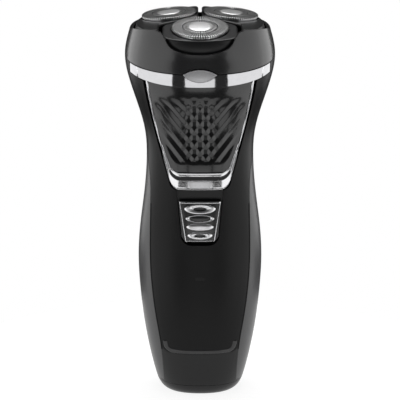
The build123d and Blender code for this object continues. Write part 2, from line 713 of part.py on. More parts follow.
# --------------------------------------------------------------------------- head
with BuildPart() as head_housing:
    add(OUTER)
    add(HEAD_INNER, mode=Mode.SUBTRACT)
    split(bisect_by=SEAM.offset(0.1), keep=Keep.TOP)
    with BuildPart(mode=Mode.PRIVATE) as above_edge:
        add(slab(HEAD, HOUSING_TOP, REACH))
        split(bisect_by=Plane.XY.offset(SHOULDER_HEIGHT), keep=Keep.TOP)
    add(above_edge.part, mode=Mode.SUBTRACT)
    with BuildSketch(Plane(origin=HEAD.origin, x_dir=(1, 0, 0), z_dir=-HEAD.y_dir)):
        with BuildLine():
            dip = Spline((0, FRONT_DIP), (4.2, FRONT_DIP + 0.2), (7.8, FRONT_DIP + 0.9), (10.5, FRONT_DIP + 2.0),
                         (12.3, FRONT_DIP + 3.7), (13.3, FRONT_DIP + 5.4), (14.3, FRONT_DIP_TOP - 0.7),
                         (16.4, FRONT_DIP_TOP), tangents=[(1, 0), (1, 0)])
            Polyline(dip @ 1, (16.4, FRONT_DIP_TOP + 5), (0, FRONT_DIP_TOP + 5))
            mirror(about=Plane.YZ)
        make_face()
    extrude(amount=REACH, mode=Mode.SUBTRACT)
    add(knuckle(-KNUCKLE_HALF - SIDE_GAP, KNUCKLE_HALF + SIDE_GAP, CLEAR_RADIUS), mode=Mode.SUBTRACT)
    for low, high in ((-KNUCKLE_END, -KNUCKLE_HALF - SIDE_GAP), (KNUCKLE_HALF + SIDE_GAP, KNUCKLE_END)):
        add(web(low, high, 0.15, KNUCKLE_RADIUS))
        add(knuckle(low, high, KNUCKLE_RADIUS))
    add(knuckle(-REACH, REACH, HINGE_PIN_RADIUS + RUNNING), mode=Mode.SUBTRACT)
    add(front_prism(BUTTON, 0.3), mode=Mode.SUBTRACT)
save(head_housing.part, "head_housing")

FRAME_LOW = 4.0
FRAME_HIGH = 5.1
with BuildPart() as retaining_frame:
    add(HEAD_INNER)
    add(slab(HEAD, FRAME_LOW, FRAME_HIGH), mode=Mode.INTERSECT)
    with BuildSketch(HEAD.offset(FRAME_LOW)):
        with PolarLocations(SPINDLE_CIRCLE, 3, start_angle=-90):
            Circle(8.0)
    extrude(amount=5, mode=Mode.SUBTRACT)
save(retaining_frame.part, "retaining_frame")

with BuildPart() as lock_knob:
    with BuildSketch(HEAD.offset(1.6)):
        Circle(4.2)
        Rectangle(14, 3.2)
        fillet(vertices().group_by(Axis.X)[0] + vertices().group_by(Axis.X)[-1], 1.4)
    extrude(amount=FRAME_LOW - 1.6 - 0.05)
save(lock_knob.part, "lock_knob")

with BuildPart() as head_latch:
    with BuildSketch(Plane.YZ.offset(-2.8)):
        with BuildLine():
            Polyline((-27.4, 136.6), (-21.8, 136.6), (-21.8, 132.0), (-22.8, 132.0), (-22.8, 135.4),
                     (-27.4, 135.4), close=True)
        make_face()
    extrude(amount=5.6)
    add(HEAD_INNER, mode=Mode.INTERSECT)
save(head_latch.part, "head_latch")

# --------------------------------------------------------------- shaving elements
POD_ENVELOPE = body_envelope(POD_INSET)


def pod_plane(angle):
    """Plane of one shaving ring's top, leaning outwards, with X pointing outwards."""
    flat = HEAD.location * Pos(*polar(RING_CIRCLE, angle), RING_HEIGHT)
    return Plane(flat * Rot(0, 0, angle) * Rot(0, POD_TILT, 0))


def side_of(plane):
    """Plane through a pod's axis, for profiles given as radius and height."""
    return Plane(origin=plane.origin, x_dir=plane.x_dir, z_dir=-plane.y_dir)


def revolved(plane, profile):
    """Body of revolution about a pod's axis from radius and height pairs."""
    with BuildPart() as turned:
        with BuildSketch(side_of(plane)):
            with BuildLine():
                Polyline(*profile, close=True)
            make_face()
        revolve(axis=Axis(plane.origin, plane.z_dir))
    return turned.part


def pod_outline(place):
    """Corners of a pod's share of the head, seen along the drive axis."""
    angle = POD_ANGLES[place]
    corner = Vector(*polar(SEAM_BETWEEN_PODS / 2 / math.sin(math.radians(60)), angle))
    if place == "front":
        run = FRONT_POD_HALF_WIDTH / math.cos(math.radians(30))
        left, right = (corner + Vector(*polar(run, angle + side)) for side in (-60, 60))
        return [corner, left, Vector(left.X, -REACH), Vector(right.X, -REACH), right]
    side = 1 if place == "right" else -1
    run = (FRONT_POD_HALF_WIDTH + SEAM_BETWEEN_PODS - side * corner.X) / math.cos(math.radians(30))
    bend = corner + Vector(*polar(run, -90 + 60 * side))
    return [corner, bend, Vector(bend.X, -REACH), Vector(side * REACH, -REACH), Vector(side * REACH, REACH),
            Vector(corner.X, REACH)]


LEDGE_HIGH = -RING_DEPTH
LEDGE_LOW = -RING_DEPTH - 1.0
SOCKET_LOW = -6.2
BLADES = 9
for place, angle in POD_ANGLES.items():
    plane = pod_plane(angle)
    with BuildPart() as pod:
        with BuildSketch(HEAD.offset(POD_FLOOR)):
            with BuildLine():
                Polyline(*pod_outline(place), close=True)
            make_face()
        extrude(amount=14)
        add(POD_ENVELOPE, mode=Mode.INTERSECT)
        split(bisect_by=plane.offset(-POD_DROP), keep=Keep.BOTTOM)
        uprights = [edge for edge in pod.edges() if abs(edge.tangent_at(0.5).dot(HEAD.z_dir)) > 0.7]
        fillet([edge for edge in uprights if (edge.center() - HEAD.origin).length > RING_CIRCLE + 4],
               FRONT_POD_CORNER if place == "front" else POD_CORNER)
        fillet(pod.faces().sort_by(Axis(plane.origin, plane.z_dir))[-1].outer_wire().edges(), POD_RIM)
        add(rod(plane.origin - plane.z_dir * 20, plane.z_dir, POD_BORE, 30), mode=Mode.SUBTRACT)
        add(revolved(plane, [(10.5, LEDGE_LOW), (POD_BORE + 0.1, LEDGE_LOW), (POD_BORE + 0.1, LEDGE_HIGH),
                             (10.5, LEDGE_HIGH)]))
    save(pod.part, f"{place}_pod")
    save(revolved(plane, [(4.6, 0), (6.4, 0), (6.5, -0.35), (6.9, -0.35), (7.0, 0), (10.4, 0), (RING_RADIUS, -0.5),
                          (RING_RADIUS, -RING_DEPTH), (10.5, -RING_DEPTH), (10.5, -0.8), (4.6, -0.8)]),
         f"{place}_shaving_ring")
    save(revolved(plane, [(0, 0.3), (3.2, 0.25), (4.3, 0.05), (4.6, -0.25), (4.6, -0.8), (0, -0.8)]),
         f"{place}_ring_cap")
    with BuildPart() as cutter:
        add(revolved(plane, [(0, -1.3), (3.4, -1.3), (3.4, -3.2), (9.9, -3.2), (9.9, -3.9), (3.4, -3.9),
                             (3.4, SOCKET_LOW), (2.2, SOCKET_LOW), (2.2, -4.4), (0, -4.4)]))
        with BuildSketch(plane.offset(-3.3)):
            with PolarLocations(7.5, BLADES):
                Rectangle(4.8, 0.8)
        extrude(amount=2.3)
    save(cutter.part, f"{place}_cutter")
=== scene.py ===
"""Looks of an upright rotary shaver: finishes, slotted shaving rings, relief panel, trims and studio."""
import json
import logging
import math
from dataclasses import dataclass, field
from enum import Enum

import bmesh
import bpy
import numpy
from mathutils import Matrix, Vector
from mathutils.bvhtree import BVHTree


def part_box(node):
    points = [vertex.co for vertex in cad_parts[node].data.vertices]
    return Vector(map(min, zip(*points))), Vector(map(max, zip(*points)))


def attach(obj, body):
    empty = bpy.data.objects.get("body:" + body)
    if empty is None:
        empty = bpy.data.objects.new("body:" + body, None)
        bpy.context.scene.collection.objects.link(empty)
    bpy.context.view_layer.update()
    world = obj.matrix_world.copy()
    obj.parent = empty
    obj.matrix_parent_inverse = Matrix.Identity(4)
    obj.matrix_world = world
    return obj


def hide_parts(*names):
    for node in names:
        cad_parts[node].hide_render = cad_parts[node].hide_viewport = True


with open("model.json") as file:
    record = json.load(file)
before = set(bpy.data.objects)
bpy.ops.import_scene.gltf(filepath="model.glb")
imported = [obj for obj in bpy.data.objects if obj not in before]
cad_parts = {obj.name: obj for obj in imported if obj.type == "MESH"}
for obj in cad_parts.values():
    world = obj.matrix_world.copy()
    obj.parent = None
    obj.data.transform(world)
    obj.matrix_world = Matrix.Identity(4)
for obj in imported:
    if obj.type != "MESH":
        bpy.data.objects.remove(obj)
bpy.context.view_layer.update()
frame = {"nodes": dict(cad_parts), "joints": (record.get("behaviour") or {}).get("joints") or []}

MM = 0.001
BACKWARDS = Vector((0, 1, 0))
BEFORE_THE_SHAVER = -100 * MM
WELD_REACH = 0.002 * MM
HEAD_PLACES = ("front", "right", "left")
LOG = logging.getLogger("shaver")
MADE_MATERIALS: dict[str, bpy.types.Material] = {}


class Grain(Enum):
    """How the surface of a finish is broken up."""

    SMOOTH = "smooth"
    MOULDED = "moulded"
    BRUSHED = "brushed"
    TURNED = "turned"


GRAIN_SQUEEZE = {Grain.SMOOTH: (0.15, 0.15, 0.15), Grain.MOULDED: (1.0, 1.0, 1.0),
                 Grain.BRUSHED: (0.06, 1.0, 1.0), Grain.TURNED: (0.5, 0.5, 0.5)}
GRAIN_DETAIL = 4.0
DRIFT_SPAN = (0.3, 0.7)
ROUGHNESS_DRIFT = 0.12
BUMP_STRENGTH = 0.6
BEVEL_SAMPLES = 6
COAT_ROUGHNESS = 0.08


@dataclass(frozen=True)
class Finish:
    """One surface finish, made into a node material when it is first used."""

    name: str
    colour: tuple[float, float, float]
    roughness: float
    metallic: float = 0.0
    coat: float = 0.0
    shine: float = 0.5
    grain: Grain = Grain.MOULDED
    grain_size: float = 0.35 * MM
    grain_depth: float = 0.02 * MM
    variation: float = 0.12
    edge_round: float = 0.0

    def material(self) -> bpy.types.Material:
        """Build the material, or return the one already built.

        Returns:
            The material for this finish.
        """
        if self.name in MADE_MATERIALS:
            return MADE_MATERIALS[self.name]
        made = bpy.data.materials.new(f"{self.name}_finish")
        MADE_MATERIALS[self.name] = made
        made.use_nodes = True
        made.diffuse_color = (*self.colour, 1.0)
        tree = made.node_tree
        shader = tree.nodes["Principled BSDF"]
        shader.inputs["Metallic"].default_value = self.metallic
        shader.inputs["Coat Weight"].default_value = self.coat
        shader.inputs["Specular IOR Level"].default_value = self.shine
        shader.inputs["Coat Roughness"].default_value = COAT_ROUGHNESS
        height = self._grain_height(tree)
        self._vary_colour(tree, shader, height)
        self._vary_roughness(tree, shader, height)
        self._add_bump(tree, shader, height)
        return made

    def _grain_height(self, tree: bpy.types.NodeTree) -> bpy.types.NodeSocket:
        """Lay the noise that gives the finish its grain.

        Args:
            tree: node tree of the material.

        Returns:
            The socket with the grain's height from 0 to 1.
        """
        place = tree.nodes.new("ShaderNodeTexCoord")
        noise = tree.nodes.new("ShaderNodeTexNoise")
        noise.inputs["Scale"].default_value = 1.0
        noise.inputs["Detail"].default_value = GRAIN_DETAIL
        stretch = tree.nodes.new("ShaderNodeMapping")
        stretch.inputs["Scale"].default_value = [part / self.grain_size for part in GRAIN_SQUEEZE[self.grain]]
        tree.links.new(place.outputs["Object"], stretch.inputs["Vector"])
        tree.links.new(stretch.outputs["Vector"], noise.inputs["Vector"])
        return noise.outputs["Fac"]

    def _vary_colour(self, tree: bpy.types.NodeTree, shader: bpy.types.Node,
                     height: bpy.types.NodeSocket) -> None:
        """Let the colour drift a little with the grain.

        Args:
            tree: node tree of the material.
            shader: the surface shader.
            height: grain height socket.
        """
        ramp = tree.nodes.new("ShaderNodeValToRGB")
        dark, light = ramp.color_ramp.elements
        dark.position, light.position = DRIFT_SPAN
        dark.color = (*[part * (1 - self.variation) for part in self.colour], 1)
        light.color = (*[min(part * (1 + self.variation), 1) for part in self.colour], 1)
        tree.links.new(height, ramp.inputs["Fac"])
        tree.links.new(ramp.outputs["Color"], shader.inputs["Base Color"])

    def _vary_roughness(self, tree: bpy.types.NodeTree, shader: bpy.types.Node,
                        height: bpy.types.NodeSocket) -> None:
        """Let the roughness drift a little with the grain.

        Args:
            tree: node tree of the material.
            shader: the surface shader.
            height: grain height socket.
        """
        span = tree.nodes.new("ShaderNodeMapRange")
        span.inputs["To Min"].default_value = self.roughness * (1 - ROUGHNESS_DRIFT)
        span.inputs["To Max"].default_value = self.roughness * (1 + ROUGHNESS_DRIFT)
        tree.links.new(height, span.inputs["Value"])
        tree.links.new(span.outputs["Result"], shader.inputs["Roughness"])

    def _add_bump(self, tree: bpy.types.NodeTree, shader: bpy.types.Node,
                  height: bpy.types.NodeSocket) -> None:
        """Give the surface its fine relief and soft edges.

        Args:
            tree: node tree of the material.
            shader: the surface shader.
            height: grain height socket.
        """
        bump = tree.nodes.new("ShaderNodeBump")
        bump.inputs["Strength"].default_value = 0.0 if self.grain is Grain.SMOOTH else BUMP_STRENGTH
        bump.inputs["Distance"].default_value = self.grain_depth
        tree.links.new(height, bump.inputs["Height"])
        if self.edge_round:
            bevel = tree.nodes.new("ShaderNodeBevel")
            bevel.samples = BEVEL_SAMPLES
            bevel.inputs["Radius"].default_value = self.edge_round
            tree.links.new(bevel.outputs["Normal"], bump.inputs["Normal"])
        tree.links.new(bump.outputs["Normal"], shader.inputs["Normal"])


GLOSS_BLACK = Finish("gloss_black", (0.008, 0.008, 0.0085), 0.24, coat=0.15, grain_depth=0.004 * MM,
                     edge_round=0.3 * MM)
SATIN_COVER = Finish("satin_cover", (0.004, 0.004, 0.0041), 0.36, shine=0.15, grain_depth=0.012 * MM,
                     edge_round=0.3 * MM)
# Painted highlight: the cover's lip in a lighter copy of the cover's colour, over its real raised shape.
COVER_LIP_PAINTED_HIGHLIGHT = Finish("cover_lip_painted_highlight", (0.013, 0.013, 0.0133), 0.3, grain_depth=0.01 * MM)
DARK_SHELL = Finish("dark_shell", (0.005, 0.005, 0.0052), 0.3, shine=0.3, grain_depth=0.01 * MM,
                    edge_round=0.3 * MM)
SOFT_GRIP = Finish("soft_grip", (0.04, 0.04, 0.041), 0.34, grain_size=0.5 * MM, grain_depth=0.02 * MM,
                   edge_round=0.3 * MM)
GLOSS_PANEL = Finish("gloss_panel", (0.007, 0.007, 0.0073), 0.2, coat=0.25, shine=0.45, grain=Grain.SMOOTH)
POD_PLASTIC = Finish("pod_plastic", (0.01, 0.01, 0.0105), 0.34, shine=0.35, grain_depth=0.01 * MM,
                     edge_round=0.25 * MM)
CHROME = Finish("chrome_trim", (0.58, 0.58, 0.59), 0.16, 1.0, grain=Grain.SMOOTH, variation=0.03,
                edge_round=0.2 * MM)
SATIN_METAL = Finish("satin_metal", (0.5, 0.5, 0.51), 0.3, 1.0, grain_size=0.2 * MM, grain_depth=0.004 * MM,
                     edge_round=0.25 * MM)
RING_STEEL = Finish("ring_steel", (0.5, 0.5, 0.5), 0.36, 1.0, grain=Grain.TURNED, grain_size=0.15 * MM,
                    grain_depth=0.004 * MM)
STEEL = Finish("steel", (0.5, 0.5, 0.51), 0.28, 1.0, grain=Grain.BRUSHED, grain_depth=0.003 * MM)
BAND_CHROME = Finish("band_chrome", (0.45, 0.45, 0.46), 0.07, 1.0, grain=Grain.SMOOTH, variation=0.03)
RIM_STEEL = Finish("rim_steel", (0.72, 0.72, 0.73), 0.12, 1.0, grain=Grain.SMOOTH, variation=0.04)
CAP_STEEL = Finish("cap_steel", (0.62, 0.62, 0.62), 0.4, 1.0, grain=Grain.TURNED, grain_size=0.3 * MM,
                   grain_depth=0.002 * MM, variation=0.05)
# Painted shade: a matt black for the strip laid where the seam between cover and grips falls into shade.
SEAM_PAINTED_SHADE = Finish("seam_painted_shade", (0.004, 0.004, 0.004), 0.6, shine=0.1)
# Painted shade: a dark metal for the cutters and for the rings' groove, inner faces and slot walls, standing
# for the shade inside the head.
PAINTED_SHADE_METAL = Finish("painted_shade_metal", (0.03, 0.03, 0.03), 0.5, 0.6)
OVAL_SILVER = Finish("oval_silver", (0.7, 0.7, 0.71), 0.3, 1.0, grain=Grain.SMOOTH, variation=0.04)
INNER_PLASTIC = Finish("inner_plastic", (0.03, 0.03, 0.032), 0.5)
GEAR_PLASTIC = Finish("gear_plastic", (0.72, 0.7, 0.64), 0.45)
CONTACT_METAL = Finish("contact_metal", (0.75, 0.58, 0.28), 0.25, 1.0)
LENS = Finish("lens", (0.004, 0.004, 0.004), 0.35, shine=0.2, grain=Grain.SMOOTH)
BOARD = Finish("board", (0.02, 0.12, 0.05), 0.4)
CELL_WRAP = Finish("cell_wrap", (0.08, 0.2, 0.12), 0.3)
FLOOR_PAINT = Finish("floor_paint", (0.3, 0.3, 0.3), 0.9, shine=0.0, variation=0.01, grain=Grain.SMOOTH)

DRESS: dict[str, Finish] = {
    "front_shell": DARK_SHELL, "rear_shell": DARK_SHELL, "base_cap": DARK_SHELL, "trimmer_frame": DARK_SHELL,
    "front_cover": SATIN_COVER, "trimmer_key": SATIN_COVER, "lock_knob": SATIN_COVER,
    "textured_panel": GLOSS_PANEL, "switch_slider": GLOSS_PANEL,
    "chrome_bezel": CHROME, "chrome_band": BAND_CHROME,
    "release_button": SATIN_METAL, "switch_ridges": SATIN_METAL,
    "left_grip": SOFT_GRIP, "right_grip": SOFT_GRIP, "head_housing": GLOSS_BLACK,
    "indicator_lens": LENS, "indicator_led": LENS, "circuit_board": BOARD,
    "left_cell": CELL_WRAP, "right_cell": CELL_WRAP, "socket_pins": CONTACT_METAL,
    "drive_pinion": GEAR_PLASTIC,
}
DRESS_OF_EACH_HEAD: dict[str, Finish] = {
    "pod": POD_PLASTIC, "shaving_ring": RING_STEEL, "ring_cap": RING_STEEL,
    # The cutters wear painted shade metal, so that the slots above them read dark.
    "drive_gear": GEAR_PLASTIC, "spindle": GEAR_PLASTIC, "cutter": PAINTED_SHADE_METAL,
}
STEEL_NODES = ("motor", "motor_shaft", "deck_screws", "case_screws", "hinge_pin", "trimmer_pin",
               "trimmer_comb", "trimmer_blade")


def dress_table() -> dict[str, Finish]:
    """List the finish of each node that isn't plain inner plastic.

    Returns:
        Finishes by the name of the node.
    """
    table = dict(DRESS)
    table.update({name: STEEL for name in STEEL_NODES})
    for place in HEAD_PLACES:
        table.update({f"{place}_{part}": finish for part, finish in DRESS_OF_EACH_HEAD.items()})
    return table


def dress_nodes() -> None:
    """Give every node of the frame its finish."""
    table = dress_table()
    for name, node in frame["nodes"].items():
        finish = table.get(name, INNER_PLASTIC)
        node.data.materials.clear()
        node.data.materials.append(finish.material())
        LOG.info("dressed %s in %s", name, finish.name)


@dataclass(frozen=True)
class SoftBox:
    """One lamp that faces the middle of the shaver: place and size in metres, power in watts."""

    name: str
    place: tuple[float, float, float]
    size: tuple[float, float]
    power: float
    both_sides: bool = False


@dataclass
class Studio:
    """Pale floor, soft lights, surroundings and the camera."""

    distance: float = 0.470
    elevation: float = math.radians(11.0)
    aim_height: float = 0.079
    lens: float = 103.0
    ambience: float = 0.04
    floor_glow: float = 0.86
    floor_radius: float = 0.13
    floor_gap: float = 0.05 * MM
    floor_steps: int = 90
    sensor: float = 36.0
    boxes: tuple[SoftBox, ...] = (
        SoftBox("side_box", (0.513, -0.167, 0.04), (0.8, 0.75), 2.9, both_sides=True),
        SoftBox("rear_box", (0.448, 0.302, 0.16), (0.33, 0.4), 0.7, both_sides=True),
        SoftBox("wing_card", (0.22, -0.45, 0.0), (0.14, 0.10), 0.065, both_sides=True),
        SoftBox("front_card", (0.0, -0.28, 0.01), (0.15, 0.09), 0.06),
        SoftBox("top_box", (0.0, 0.10, 0.60), (0.4, 0.3), 2.0),
    )

    def build(self) -> None:
        """Set up everything that isn't part of the shaver."""
        self._colour_management()
        self._world()
        self._floor()
        self._lamps()
        self._camera()

    def _colour_management(self) -> None:
        """Show colours without a film curve."""
        bpy.context.scene.view_settings.view_transform = "Standard"

    def _world(self) -> None:
        """Show pale surroundings, and let a dim even light fall from them."""
        world = bpy.data.worlds.new("surroundings")
        bpy.context.scene.world = world
        world.use_nodes = True
        tree = world.node_tree
        seen = tree.nodes["Background"]
        seen.inputs["Color"].default_value = (1, 1, 1, 1)
        seen.inputs["Strength"].default_value = 1.0
        lit = tree.nodes.new("ShaderNodeBackground")
        lit.inputs["Color"].default_value = (1, 1, 1, 1)
        lit.inputs["Strength"].default_value = self.ambience
        path = tree.nodes.new("ShaderNodeLightPath")
        choice = tree.nodes.new("ShaderNodeMixShader")
        tree.links.new(path.outputs["Is Camera Ray"], choice.inputs[0])
        tree.links.new(lit.outputs[0], choice.inputs[1])
        tree.links.new(seen.outputs[0], choice.inputs[2])
        tree.links.new(choice.outputs[0], tree.nodes["World Output"].inputs["Surface"])

    def _floor(self) -> None:
        """Lay a round pale floor under the shaver."""
        mesh = bpy.data.meshes.new("floor")
        turns = [2 * math.pi * step / self.floor_steps for step in range(self.floor_steps)]
        rim = [(self.floor_radius * math.cos(turn), self.floor_radius * math.sin(turn), 0) for turn in turns]
        mesh.from_pydata(rim, [], [tuple(range(len(rim)))])
        floor = bpy.data.objects.new("floor", mesh)
        bpy.context.scene.collection.objects.link(floor)
        floor.location.z = -self.floor_gap
        paint = FLOOR_PAINT.material()
        shader = paint.node_tree.nodes["Principled BSDF"]
        shader.inputs["Emission Color"].default_value = (1, 1, 1, 1)
        shader.inputs["Emission Strength"].default_value = self.floor_glow
        floor.data.materials.append(paint)

    def _lamp(self, box: SoftBox, side: int) -> None:
        """Hang one lamp that faces the middle of the shaver.

        Args:
            box: the lamp's sizes.
            side: 1 for its own place and -1 for the place mirrored to the left.
        """
        data = bpy.data.lights.new(box.name, "AREA")
        data.shape = "RECTANGLE"
        data.size, data.size_y = box.size
        data.energy = box.power
        lamp = bpy.data.objects.new(f"{box.name}_{side}", data)
        lamp.visible_camera = False
        bpy.context.scene.collection.objects.link(lamp)
        lamp.location = (box.place[0] * side, *box.place[1:])
        aim = Vector((0, 0, self.aim_height)) - lamp.location
        lamp.rotation_euler = aim.to_track_quat("-Z", "Y").to_euler()

    def _lamps(self) -> None:
        """Hang broad boxes at the sides, low cards in front, and lamps behind and overhead."""
        for box in self.boxes:
            for side in (-1, 1) if box.both_sides else (1,):
                self._lamp(box, side)

    def _camera(self) -> None:
        """Place the camera in front of the shaver and a little above it."""
        data = bpy.data.cameras.new("camera")
        data.lens = self.lens
        data.sensor_width = self.sensor
        camera = bpy.data.objects.new("camera", data)
        bpy.context.scene.collection.objects.link(camera)
        aim = Vector((0, 0, self.aim_height))
        away = Vector((0, -math.cos(self.elevation), math.sin(self.elevation)))
        camera.location = aim + away * self.distance
        camera.rotation_euler = (-away).to_track_quat("-Z", "Y").to_euler()
        bpy.context.scene.camera = camera


@dataclass
class Mesh:
    """Corners and faces of one piece while it is being made."""

    points: list[Vector] = field(default_factory=list)
    faces: list[tuple[int, ...]] = field(default_factory=list)
    finishes: list[int] = field(default_factory=list)

    def add_point(self, point: Vector) -> int:
        """Add a corner.

        Args:
            point: where it is, in metres.

        Returns:
            Its number.
        """
        self.points.append(point)
        return len(self.points) - 1

    def add_face(self, corners: tuple[int, ...], finish: int = 0) -> None:
        """Add a face.

        Args:
            corners: numbers of its corners.
            finish: which of the piece's finishes it has.
        """
        self.faces.append(corners)
        self.finishes.append(finish)

    def add_sheet(self, rows: list[list[Vector]], closed: bool = False, finish: int = 0) -> None:
        """Join rows of points into a sheet of four-cornered faces.

        Args:
            rows: rows of the same number of points.
            closed: whether each row joins its own start.
            finish: which of the piece's finishes it has.
        """
        numbers = [[self.add_point(point) for point in row] for row in rows]
        across = len(rows[0]) if closed else len(rows[0]) - 1
        for low, high in zip(numbers, numbers[1:]):
            for step in range(across):
                after = (step + 1) % len(low)
                self.add_face((low[step], low[after], high[after], high[step]), finish)

    def add_fan(self, ring: list[Vector], middle: Vector, finish: int = 0) -> None:
        """Close a ring of points with three-cornered faces.

        Args:
            ring: points of the ring.
            middle: the point where the faces meet.
            finish: which of the piece's finishes they have.
        """
        centre = self.add_point(middle)
        numbers = [self.add_point(point) for point in ring]
        for step, number in enumerate(numbers):
            self.add_face((number, numbers[(step + 1) % len(numbers)], centre), finish)

    def piece(self, name: str, finishes: list[Finish], body: str, slot: str,
              replaced: tuple[str, ...] = ()) -> bpy.types.Object:
        """Turn the mesh into a piece that rides on a body.

        Args:
            name: name of the piece.
            finishes: the finishes that the faces refer to.
            body: body that carries it.
            slot: name of a material slot; not used.
            replaced: nodes of the frame that it stands for.

        Returns:
            The piece.
        """
        data = bpy.data.meshes.new(name)
        data.from_pydata(self.points, [], self.faces)
        for finish in finishes:
            data.materials.append(finish.material())
        data.polygons.foreach_set("material_index", self.finishes)
        data.polygons.foreach_set("use_smooth", [True] * len(self.faces))
        made = bpy.data.objects.new(name, data)
        bpy.context.scene.collection.objects.link(made)
        self._tidy(data)
        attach(made, body)
        if replaced:
            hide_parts(*replaced)
        LOG.info("built %s with %d faces on %s", name, len(self.faces), body)
        return made

    @staticmethod
    def _tidy(data: bpy.types.Mesh) -> None:
        """Weld the seams and turn the faces outwards.

        Args:
            data: the mesh.
        """
        shape = bmesh.new()
        shape.from_mesh(data)
        bmesh.ops.remove_doubles(shape, verts=shape.verts, dist=WELD_REACH)
        bmesh.ops.recalc_face_normals(shape, faces=shape.faces)
        shape.to_mesh(data)
        shape.free()


def set_sharp(piece: bpy.types.Object, angle: float = math.radians(35)) -> None:
    """Keep the edges that turn by more than an angle crisp.

    Args:
        piece: the piece.
        angle: the least turn of a crisp edge.
    """
    piece.data.set_sharp_from_angle(angle=angle)


class Skin:
    """The front side of some nodes, to lay things on."""

    EDGE_DEPTH = -24 * MM
    LEAST_HALF_WIDTH = 2 * MM

    def __init__(self, *nodes: str) -> None:
        """Collect the faces of the nodes.

        Args:
            nodes: names of the nodes.
        """
        points: list[Vector] = []
        faces: list[tuple[int, ...]] = []
        for name in nodes:
            data = frame["nodes"][name].data
            start = len(points)
            points += [corner.co.copy() for corner in data.vertices]
            faces += [tuple(start + number for number in face.vertices) for face in data.polygons]
        self.tree = BVHTree.FromPolygons(points, faces)

    def hit(self, across: float, height: float) -> tuple[Vector | None, Vector | None]:
        """Look straight back at the nodes.

        Args:
            across: X of the point.
            height: Z of the point.

        Returns:
            The first point met and the way its face looks, or None twice where nothing is met.
        """
        return self.tree.ray_cast(Vector((across, BEFORE_THE_SHAVER, height)), BACKWARDS)[:2]

    def half_width(self, height: float, reach: float, step: float) -> float:
        """Measure the half width of the nodes at a height.

        Args:
            height: Z.
            reach: X to start from, outside the nodes.
            step: how far each try moves in.

        Returns:
            The half width there.
        """
        while reach > self.LEAST_HALF_WIDTH and self.hit(reach, height)[0] is None:
            reach -= step
        return reach

    def front(self, across: float, height: float) -> tuple[Vector, Vector]:
        """Find the surface as seen from the front.

        Args:
            across: X of the point.
            height: Z of the point.

        Returns:
            The point on the surface and the way that the surface faces.
        """
        point, facing = self.hit(across, height)
        if point is None:
            point, facing, _, _ = self.tree.find_nearest(Vector((across, self.EDGE_DEPTH, height)))
            point = Vector((across, point.y, height))
        if facing.y > 0:
            facing = -facing
        return point, facing


class FairSkin(Skin):
    """A node's front side smoothed into one fair surface, the same on the left and the right."""

    ACROSS_POWERS = (0, 2, 4)
    HEIGHT_POWERS = (0, 1, 2, 3, 4)
    STEPS = 60
    FACES_FRONT = -0.6
    STRAY = 0.2 * MM
    SLOPE_REACH = 0.1 * MM

    def __init__(self, node: str) -> None:
        """Fit the surface to the node's front side.

        Args:
            node: name of the node.
        """
        super().__init__(node)
        self.low, self.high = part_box(node)
        places, depths = [], []
        for column in range(self.STEPS + 1):
            for row in range(self.STEPS + 1):
                across = self.low.x + (self.high.x - self.low.x) * column / self.STEPS
                height = self.low.z + (self.high.z - self.low.z) * row / self.STEPS
                point, facing = self.hit(across, height)
                if point is not None and facing.y < self.FACES_FRONT:
                    places.append(self._terms(across, height))
                    depths.append(point.y)
        terms, wanted = numpy.array(places), numpy.array(depths)
        self.weights = numpy.linalg.lstsq(terms, wanted, rcond=None)[0]
        near = numpy.abs(terms @ self.weights - wanted) < self.STRAY
        self.weights = numpy.linalg.lstsq(terms[near], wanted[near], rcond=None)[0]

    def _terms(self, across: float, height: float) -> list[float]:
        """List the powers of a place that the surface is made of.

        Args:
            across: X of the place.
            height: Z of the place.

        Returns:
            The products of the powers.
        """
        side = across / self.high.x
        up = (height - self.low.z) / (self.high.z - self.low.z) * 2 - 1
        return [side ** power * up ** lift for power in self.ACROSS_POWERS for lift in self.HEIGHT_POWERS]

    def _depth(self, across: float, height: float) -> float:
        """Read the fair surface's Y at a place given as X and Z."""
        return float(numpy.dot(self._terms(across, height), self.weights))

    def front(self, across: float, height: float) -> tuple[Vector, Vector]:
        """Find the fair surface as seen from the front.

        Args:
            across: X of the point.
            height: Z of the point.

        Returns:
            The point on the surface and the way that the surface faces.
        """
        reach = self.SLOPE_REACH
        rise_across = self._depth(across + reach, height) - self._depth(across - reach, height)
        rise_up = self._depth(across, height + reach) - self._depth(across, height - reach)
        point = Vector((across, self._depth(across, height), height))
        return point, Vector((rise_across, -2 * reach, rise_up)).normalized()


